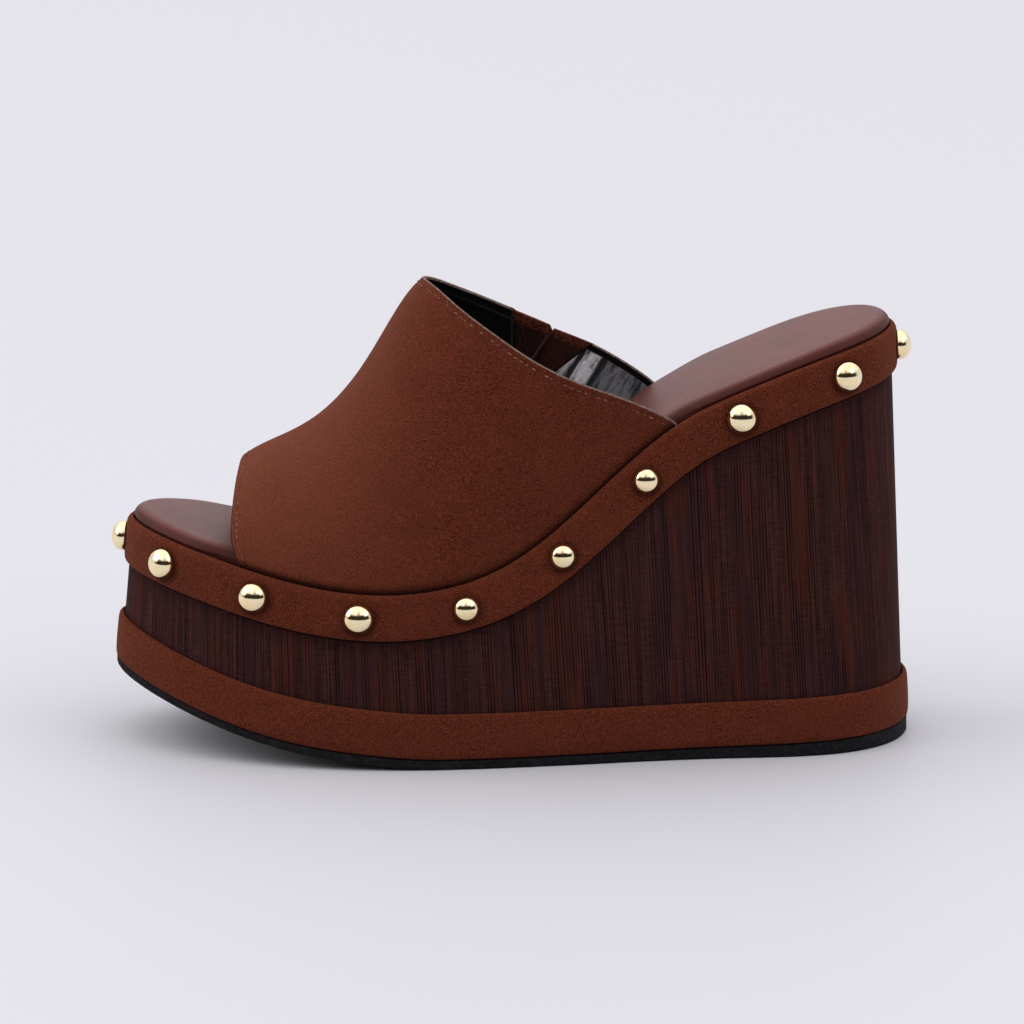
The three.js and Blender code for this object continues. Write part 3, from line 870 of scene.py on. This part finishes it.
def collar_height(x):
    """Height of the collar edge above x on the inner side."""
    girth = np.linspace(0.5, 1, 400)
    edge_x = (spline(collar_edge, girth) - 0.5) * footbed_length
    height = skin_point(spline(collar_edge, girth), girth * np.pi)[:, 2]
    return np.interp(x, edge_x, height)


gore_foot = collar_height(gore_front) - gore_depth
gore_back_top = collar_height(gore_front + gore_top_width)
gore_slant = (gore_top_width - gore_foot_width) / (gore_back_top - gore_foot)


def gore_back(z):
    """x of the opening's slanted back edge at height z."""
    return gore_front + gore_foot_width + gore_slant * (z - gore_foot)


def flank_point(x, z, depth):
    """The inner flank's point at x and z, depth inside the skin."""
    along = x / footbed_length + 0.5
    rise = (z - edge_height(along)) / section_height(along)
    sine = np.clip(rise, 0, 1) ** (section_fullness / 2)
    angle = np.pi - np.arcsin(sine)
    return skin_point(along, angle) - skin_normal(along, angle) * np.asarray(depth)[..., None]


def gore_outline(across, up, grow):
    """x and z of a point of the gore from its shares: across from the upright front edge to the
    slanted back one, up from the foot to the collar, found in rounds."""
    foot = gore_foot - grow
    z = foot
    for _ in range(outline_rounds):
        width = gore_foot_width + gore_slant * (z - gore_foot) + 2 * grow
        x = gore_front - grow + across * width
        z = foot + up * (collar_height(x) + gore_proud - foot)
    return x, z


def gore_material():
    """Plum-brown ribbed elastic under a redder hem with a row of stitches, and a painted
    highlight, a light line down the fold between the tabs."""
    material, place = new_material("gore_elastic", 0.1)
    x = place.surface().part(0)
    depth = place.surface().part(1)
    rib = place.stretched((2600, 2600, 500)).noise(1.0, 2.0, 0.5)
    cloud = place.noise(160.0, 3.0, 0.6)
    nap = place.noise(1100.0, 3.0, 0.75)
    plum = rib.between(0.3, 0.7).mix(elastic_dark, elastic_light)
    plum = (cloud.between(0.4, 0.7) * 0.5).mix(plum, elastic_cloud)
    hem = nap.between(0.36, 0.64).mix(hem_dark, hem_light)
    below = depth.between(gore_hem * 0.001 - 0.0002, gore_hem * 0.001 + 0.0002)
    color = below.mix(hem, plum)
    dash = (x * dashes_per_metre).math("FRACT").between(0.42, 0.58)
    row = depth.band((gore_hem - 0.5) * 0.001, 0.0001, 0.0003)
    color = (dash * row).mix(color, hem_thread)
    fold = (x + fold_slope * depth).band(nick_x * 0.001, 0.0001, 0.0005)
    # Painted highlight: a light line down the fold.
    color = (fold * below * 0.7).mix(color, fold_painted_highlight)
    return finish(material, color, 0.85 + 0.1 * rib, [(rib, 0.0003)])


def gore_mesh():
    """Two skins of the flank with a fold that steps across from the nick, joined at the rim,
    which is pressed thin where it is sewn in behind the opening's edge."""
    across = np.linspace(0, 1, gore_steps[0])[:, None]
    up = np.linspace(0, 1, gore_steps[1])[None, :]
    x, z = gore_outline(across, up, gore_tuck)
    nick = gore_nick * np.maximum(1 - np.abs(x - nick_x) / (nick_spread * gore_nick), 0)
    depth = collar_height(x) - z
    behind = (x - nick_x) / (gore_front + gore_top_width - nick_x)
    drop = tab_drop * (1 - np.clip(behind, 0, 1)) * (behind > 0)
    z = z - (nick + drop) * smooth(*drop_span, up)
    fold_x = nick_x - fold_slope * (collar_height(nick_x) - z)
    fade = smooth(*fold_fade, up)
    step = fold_step * (1 - smooth(-fold_half, fold_half, x - fold_x)) * fade
    trough = fold_trough * np.exp(-(((x - fold_x) / fold_trough_width) ** 2)) * fade
    inside = np.minimum(np.minimum(x - gore_front, gore_back(z) - x), z - gore_foot)
    seen = smooth(*rim_span, inside)
    thinning = rim_thinning - trough / 2
    outer = flank_point(x, z, rim_depths[0] + (tab_depth + step - trough / 2) * seen)
    inner = flank_point(x, z, rim_depths[1] + (gore_wall + step - thinning) * seen)
    rows, columns = gore_steps
    rings = np.concatenate([outer, inner[:, ::-1]], 1)
    one_side = np.stack([x, depth], -1) * 0.001
    uv = np.concatenate([one_side, one_side[:, ::-1]], 1)
    quads = grid_quads(rows, 2 * columns)[:, ::-1]
    lid = side_quads(columns, 2 * columns)
    quads = np.concatenate([quads, lid[:, ::-1], (rows - 1) * 2 * columns + lid])
    return new_piece("gore_tabs", rings, quads, uv, [gore_material()])


def cut_gore_opening(piece):
    """Cuts the gore's outline out of the upper with a prism through its inner half."""
    low = gore_foot - glue_gap
    high = gore_foot + 2 * gore_depth
    reach = glue_gap * np.hypot(1, gore_slant)
    front = gore_front - glue_gap
    backs = [gore_back(z) + reach for z in (low, high)]
    outline = ((front, low), (backs[0], low), (backs[1], high), (front, high))
    points = [(x, y, z) for y in (0, ball_width) for x, z in outline]
    sides = [(i, i + 4, (i + 1) % 4 + 4, (i + 1) % 4) for i in range(4)]
    quads = [(0, 1, 2, 3), (7, 6, 5, 4)] + sides
    cutter = new_piece("gore_opening", points, quads, None, [suede, cut_edge], [1] * 6)
    opening = piece.modifiers.new("gore_opening", "BOOLEAN")
    opening.object = cutter
    opening.operation = "DIFFERENCE"
    opening.solver = "EXACT"
    graph = bpy.context.evaluated_depsgraph_get()
    whole = piece.data
    piece.data = bpy.data.meshes.new_from_object(piece.evaluated_get(graph))
    piece.modifiers.remove(opening)
    bpy.data.meshes.remove(whole)
    bpy.data.objects.remove(cutter)
    piece.data.set_sharp_from_angle(angle=np.radians(sharp_degrees))


cut_gore_opening(upper)
gore = gore_mesh()
for piece, node, slot in ((upper, "upper", "suede"), (gore, "gore", "elastic")):
    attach(piece, "root")
    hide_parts(node)


# The stitching: one row of lock stitches a little way in from each raw edge of the upper, seen
# on the suede in rust thread and on the lining in black.
stitch_length = 1.5
stitch_pitch = 2.1
first_stitch = 0.5
stitch_waver = 0.12
stitch_arch = 1.5
stitch_sink = 0.9
thread_radius = 0.22
thread_end = 0.08
thread_sides = 6
thread_rows = 6
least_slant = 0.2
line_points = 3000


def thread_material(name, light, dark):
    """Twisted thread, dull, a little uneven from stitch to stitch."""
    material, place = new_material(name, 0.08)
    twist = place.noise(700.0, 2.0, 0.6)
    color = twist.between(0.3, 0.7).mix(dark, light)
    return finish(material, color, 0.7 + 0.1 * twist)


def stitch_line(edge, side, depth, first, last, face=1):
    """Points and normals close together on a line stitch_inset square to an edge."""
    girth = np.linspace(first, last, line_points)
    slant = np.maximum(edge_slant(edge, girth), least_slant)
    along = spline(edge, girth) + side * stitch_inset / slant / footbed_length
    normal = skin_normal(along, girth * np.pi)
    return skin_point(along, girth * np.pi) - normal * depth, normal * face


def stitch_mesh(name, lines, material):
    """Spindles along each line: rings round its stretches, thin at both ends."""
    points = []
    quads = []
    ring = thread_rows * thread_sides
    block = tube_quads(thread_rows, thread_sides)
    share = np.linspace(0, 1, thread_rows)
    spin = full_turn(thread_sides)[None, None, :, None]
    for line, normal in lines:
        way = way_along(line)
        starts = np.arange(first_stitch, way[-1] - stitch_length, stitch_pitch)
        starts = starts + stitch_waver * np.sin(np.arange(len(starts)) * 2.4)
        places = starts[:, None] + share * stitch_length
        middle = np.stack([np.interp(places, way, line[:, k]) for k in range(3)], -1)
        up = unit(np.stack([np.interp(places, way, normal[:, k]) for k in range(3)], -1))
        forward = unit(middle[:, -1:] - middle[:, :1])
        side = np.cross(forward, up)
        bulge = np.sin(np.pi * (thread_end + (1 - 2 * thread_end) * share))[None, :, None]
        radius = thread_radius * bulge[..., None]
        centre = (middle + up * thread_radius * (bulge * stitch_arch - stitch_sink))[:, :, None]
        spoke = side[:, :, None] * np.cos(spin) + up[:, :, None] * np.sin(spin)
        rings = centre + radius * spoke
        firsts = sum(len(part) for part in points) + ring * np.arange(len(starts))
        points.append(rings.reshape(-1, 3))
        quads.append((firsts[:, None, None] + block[None]).reshape(-1, 4))
    return new_piece(name, np.concatenate(points), np.concatenate(quads), None, [material])


rust_thread = thread_material("rust_thread", (0.38, 0.165, 0.112), (0.04, 0.012, 0.007))
black_thread = thread_material("black_thread", (0.02, 0.02, 0.022), (0.006, 0.006, 0.007))
gore_end = 0.76
suede_lines = [stitch_line(toe_edge, 1, stitch_trough, 0.02, 0.98),
               stitch_line(collar_edge, -1, stitch_trough, 0.004, gore_end)]
outer_stitches = stitch_mesh("edge_stitches", suede_lines, rust_thread)
lining_lines = [stitch_line(collar_edge, -1, edge_wall + 0.05, 0.5, gore_end, -1)]
inner_stitches = stitch_mesh("lining_stitches", lining_lines, black_thread)
for piece in (outer_stitches, inner_stitches):
    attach(piece, "root")


# The studs: gilt domes pressed onto the strip, one at a time, about every 35 mm.
stud_diameter = 9
waist_stud_diameter = 7.7
stud_height_share = 0.42
stud_lift = 0.4
stud_skirt = 0.9
skirt_shares = (0.94, 0.99)
skirt_waist = 0.2
dome_foot = 0.3
strip_crown = 1.08
waist_studs = (5, 6, 7, 13, 14, 15)
stud_places = (-0.003, 0.048, 0.104, 0.159, 0.214, 0.27, 0.327, 0.385, 0.4435, 0.499, 0.554, 0.61,
               0.666, 0.722, 0.778, 0.833, 0.887, 0.941)
# Painted shadow round each stud on the upper strip.
stud_shadow_depth = 0.65
stud_shadow_width = 2.0
stud_shadow_overlap = 0.3
stud_shadow_shift = (0.3, 0, -0.5)
stud_columns = 48
stud_rows = 18
crown_out = glue_gap + upper_strip_thickness * strip_crown
gilt_deep = (0.97, 0.77, 0.42)
gilt_pale = (1.0, 0.87, 0.58)


def gilt_material():
    """Polished pale gold."""
    material, place = new_material("gilt", 0.5, {"Metallic": 1.0})
    haze = place.noise(300.0, 3.0, 0.6)
    color = haze.between(0.3, 0.7).mix(gilt_deep, gilt_pale)
    return finish(material, color, 0.05 + 0.06 * haze)


gilt = gilt_material()


def strip_turns(places):
    """Turns at which shares of the upper strip's middle line have been covered."""
    turn = np.linspace(0, 2 * np.pi, 1441)
    middle = upper_strip_point(turn, 0.5 + 0 * turn, crown_out)
    way = way_along(middle)
    return np.interp(np.mod(places, 1) * way[-1], way, turn)


def stud_points(turn, diameter):
    """A dome, radius times the cosine and height times the sine of one angle, on a skirt that
    is pressed into the strip."""
    seat = upper_strip_point(turn, 0.5, crown_out)
    round_way = upper_strip_point(turn + tiny, 0.5, crown_out) - seat
    down = upper_strip_point(turn, 0.5 + tiny, crown_out) - seat
    normal = unit(np.cross(down, round_way))
    side = unit(round_way)
    up = np.cross(normal, side)
    radius = diameter / 2
    height = stud_height_share * diameter
    angle = np.linspace(0, np.pi / 2, stud_rows - 2)[:-1]
    spin = full_turn(stud_columns)[None, :]
    reach = radius * np.concatenate([skirt_shares, np.cos(angle)])[:, None]
    dome_rise = dome_foot + (height - dome_foot) * np.sin(angle)
    rise = stud_lift + np.concatenate([[-stud_skirt, -skirt_waist], dome_rise])[:, None]
    dome = (seat + normal * rise[..., None] + side * (reach * np.cos(spin))[..., None]
            + up * (reach * np.sin(spin))[..., None])
    tip = seat + normal * (stud_lift + height)
    foot = seat + normal * (stud_lift - stud_skirt)
    return np.concatenate([dome.reshape(-1, 3), [tip], [foot]])


def stud_mesh(name, turn, diameter):
    """The dome's rows of quads, closed at the tip and at the seat."""
    points = stud_points(turn, diameter)
    quads = grid_quads(stud_rows - 1, stud_columns).tolist()
    tip = len(points) - 2
    last = (stud_rows - 2) * stud_columns
    for i in range(stud_columns):
        following = (i + 1) % stud_columns
        quads.append((last + i, last + following, tip))
        quads.append((following, i, tip + 1))
    return new_piece(name, points, quads, None, [gilt])


def paint_stud_shadows(turns, diameters):
    """UV x of the upper strip round each stud, a painted shadow: its full depth at the skirt,
    fading to 0 over its width, round a centre a little behind and below the stud's."""
    mesh = bpy.data.objects["upper_strip_suede"].data
    points = np.empty(3 * len(mesh.vertices))
    mesh.vertices.foreach_get("co", points)
    points = points.reshape(-1, 3) * 1000
    seats = upper_strip_point(turns, 0.5 + 0 * turns, crown_out) + stud_shadow_shift
    away = np.linalg.norm(points[:, None] - seats[None], axis=-1) - diameters / 2
    # Painted shadow round each stud.
    shade = stud_shadow_depth * (1 - smooth(-stud_shadow_overlap, stud_shadow_width, away.min(1)))
    put_uv(mesh, np.stack([shade, 0 * shade], -1))


turns = strip_turns(np.array(stud_places))
numbers = np.arange(1, len(stud_places) + 1)
diameters = np.where(np.isin(numbers, waist_studs), waist_stud_diameter, stud_diameter)
paint_stud_shadows(turns, diameters)
for number, turn, diameter in zip(numbers, turns, diameters):
    stud = stud_mesh(f"stud_dome_{number:02d}", turn, diameter)
    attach(stud, "root")
    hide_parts(f"stud_{number:02d}")


# The stage: a pale floor under two soft boxes and the sky of a pale room.
floor_sides = 96
floor_radius = 9000
floor_color = (0.652, 0.648, 0.675, 1)
sky_low = (0.8, 0.795, 0.83)
sky_high = (1.38, 1.37, 1.43)
skyline_dark = (0.03, 0.028, 0.026)
sky_strength = 0.9


def floor_mesh():
    """A flat disc with its centre under the shoe."""
    turn = full_turn(floor_sides)
    ring = np.stack([np.cos(turn), np.sin(turn), 0 * turn], -1) * floor_radius
    material, _ = new_material("floor", 0.2, {"Base Color": floor_color, "Roughness": 0.55})
    return new_piece("floor", ring, [tuple(range(floor_sides))], None, [material])


floor_mesh()


def add_light(name, place, aim, size, power, color):
    """A square area light at place, turned towards aim, in metres."""
    light = bpy.data.lights.new(name, "AREA")
    light.size = size
    light.energy = power
    light.color = color
    lamp = bpy.data.objects.new(name, light)
    lamp.location = place
    lamp.rotation_euler = (Vector(aim) - Vector(place)).to_track_quat("-Z", "Y").to_euler()
    bpy.context.scene.collection.objects.link(lamp)


add_light("key_box", (-4.8, -0.4, 3.4), (0, 0, 0.05), 4.5, 90, (1, 0.98, 0.96))
add_light("side_box", (3.4, -2.4, 3.0), (0, 0, 0.05), 2.8, 24, (1, 0.98, 0.97))


def room_world():
    """A pale sky, brightest overhead, down to the horizon behind the shoe; on the near side it
    starts above a ragged dark skyline, with a grey wedge in its middle."""
    room = bpy.data.worlds.new("room")
    room.use_nodes = True
    way = Shade(room.node_tree, None).node("TexCoord", {}, {})
    z = way.part(2)
    near = 1 - (way.part(1) + 0.1).between(-0.35, 0.1)
    skyline = (z + 0.3 * way.noise(4.0, 3.0, 0.6) - 0.15).between(0.36, 0.54)
    grey = 1 - (way.part(0).math("ABSOLUTE") * 1.2 + z * 0.7).between(0.42, 0.7)
    dark = near * (1 - skyline * (0.95 - grey * 0.6))
    color = dark.mix(z.between(0.15, 0.7).mix(sky_low, sky_high), skyline_dark)
    background = room.node_tree.nodes["Background"]
    room.node_tree.links.new(color.socket, background.inputs["Color"])
    background.inputs["Strength"].default_value = sky_strength
    return room


bpy.context.scene.world = room_world()
bpy.context.scene.view_settings.view_transform = "Standard"


# The camera: a long lens 2.4 m away and 0.6 m above the floor, as in the photograph.
camera_turn = np.radians(-2.888)
camera_rise = np.radians(12.877)
camera_roll = np.radians(-0.283)
camera_distance = 2401.5
lens_share = 8033 / 1024
aim = np.array([0, 0, 62.0])
aim_across = 0.27
aim_up = 4.8

back = np.array([np.sin(camera_turn) * np.cos(camera_rise),
                 -np.cos(camera_turn) * np.cos(camera_rise), np.sin(camera_rise)])
level = np.array([np.cos(camera_turn), np.sin(camera_turn), 0])
upright = np.cross(back, level)
right = level * np.cos(camera_roll) - upright * np.sin(camera_roll)
up = level * np.sin(camera_roll) + upright * np.cos(camera_roll)
place = aim + right * aim_across + up * aim_up + back * camera_distance
camera = bpy.data.objects.new("camera", bpy.data.cameras.new("camera"))
camera.data.sensor_width = 36
camera.data.lens = 36 * lens_share
camera.data.clip_end = 100
axes = Matrix([[*row] for row in np.stack([right, up, back], 1)])
camera.matrix_world = Matrix.Translation(place * 0.001) @ axes.to_4x4()
bpy.context.scene.collection.objects.link(camera)
bpy.context.scene.camera = camera
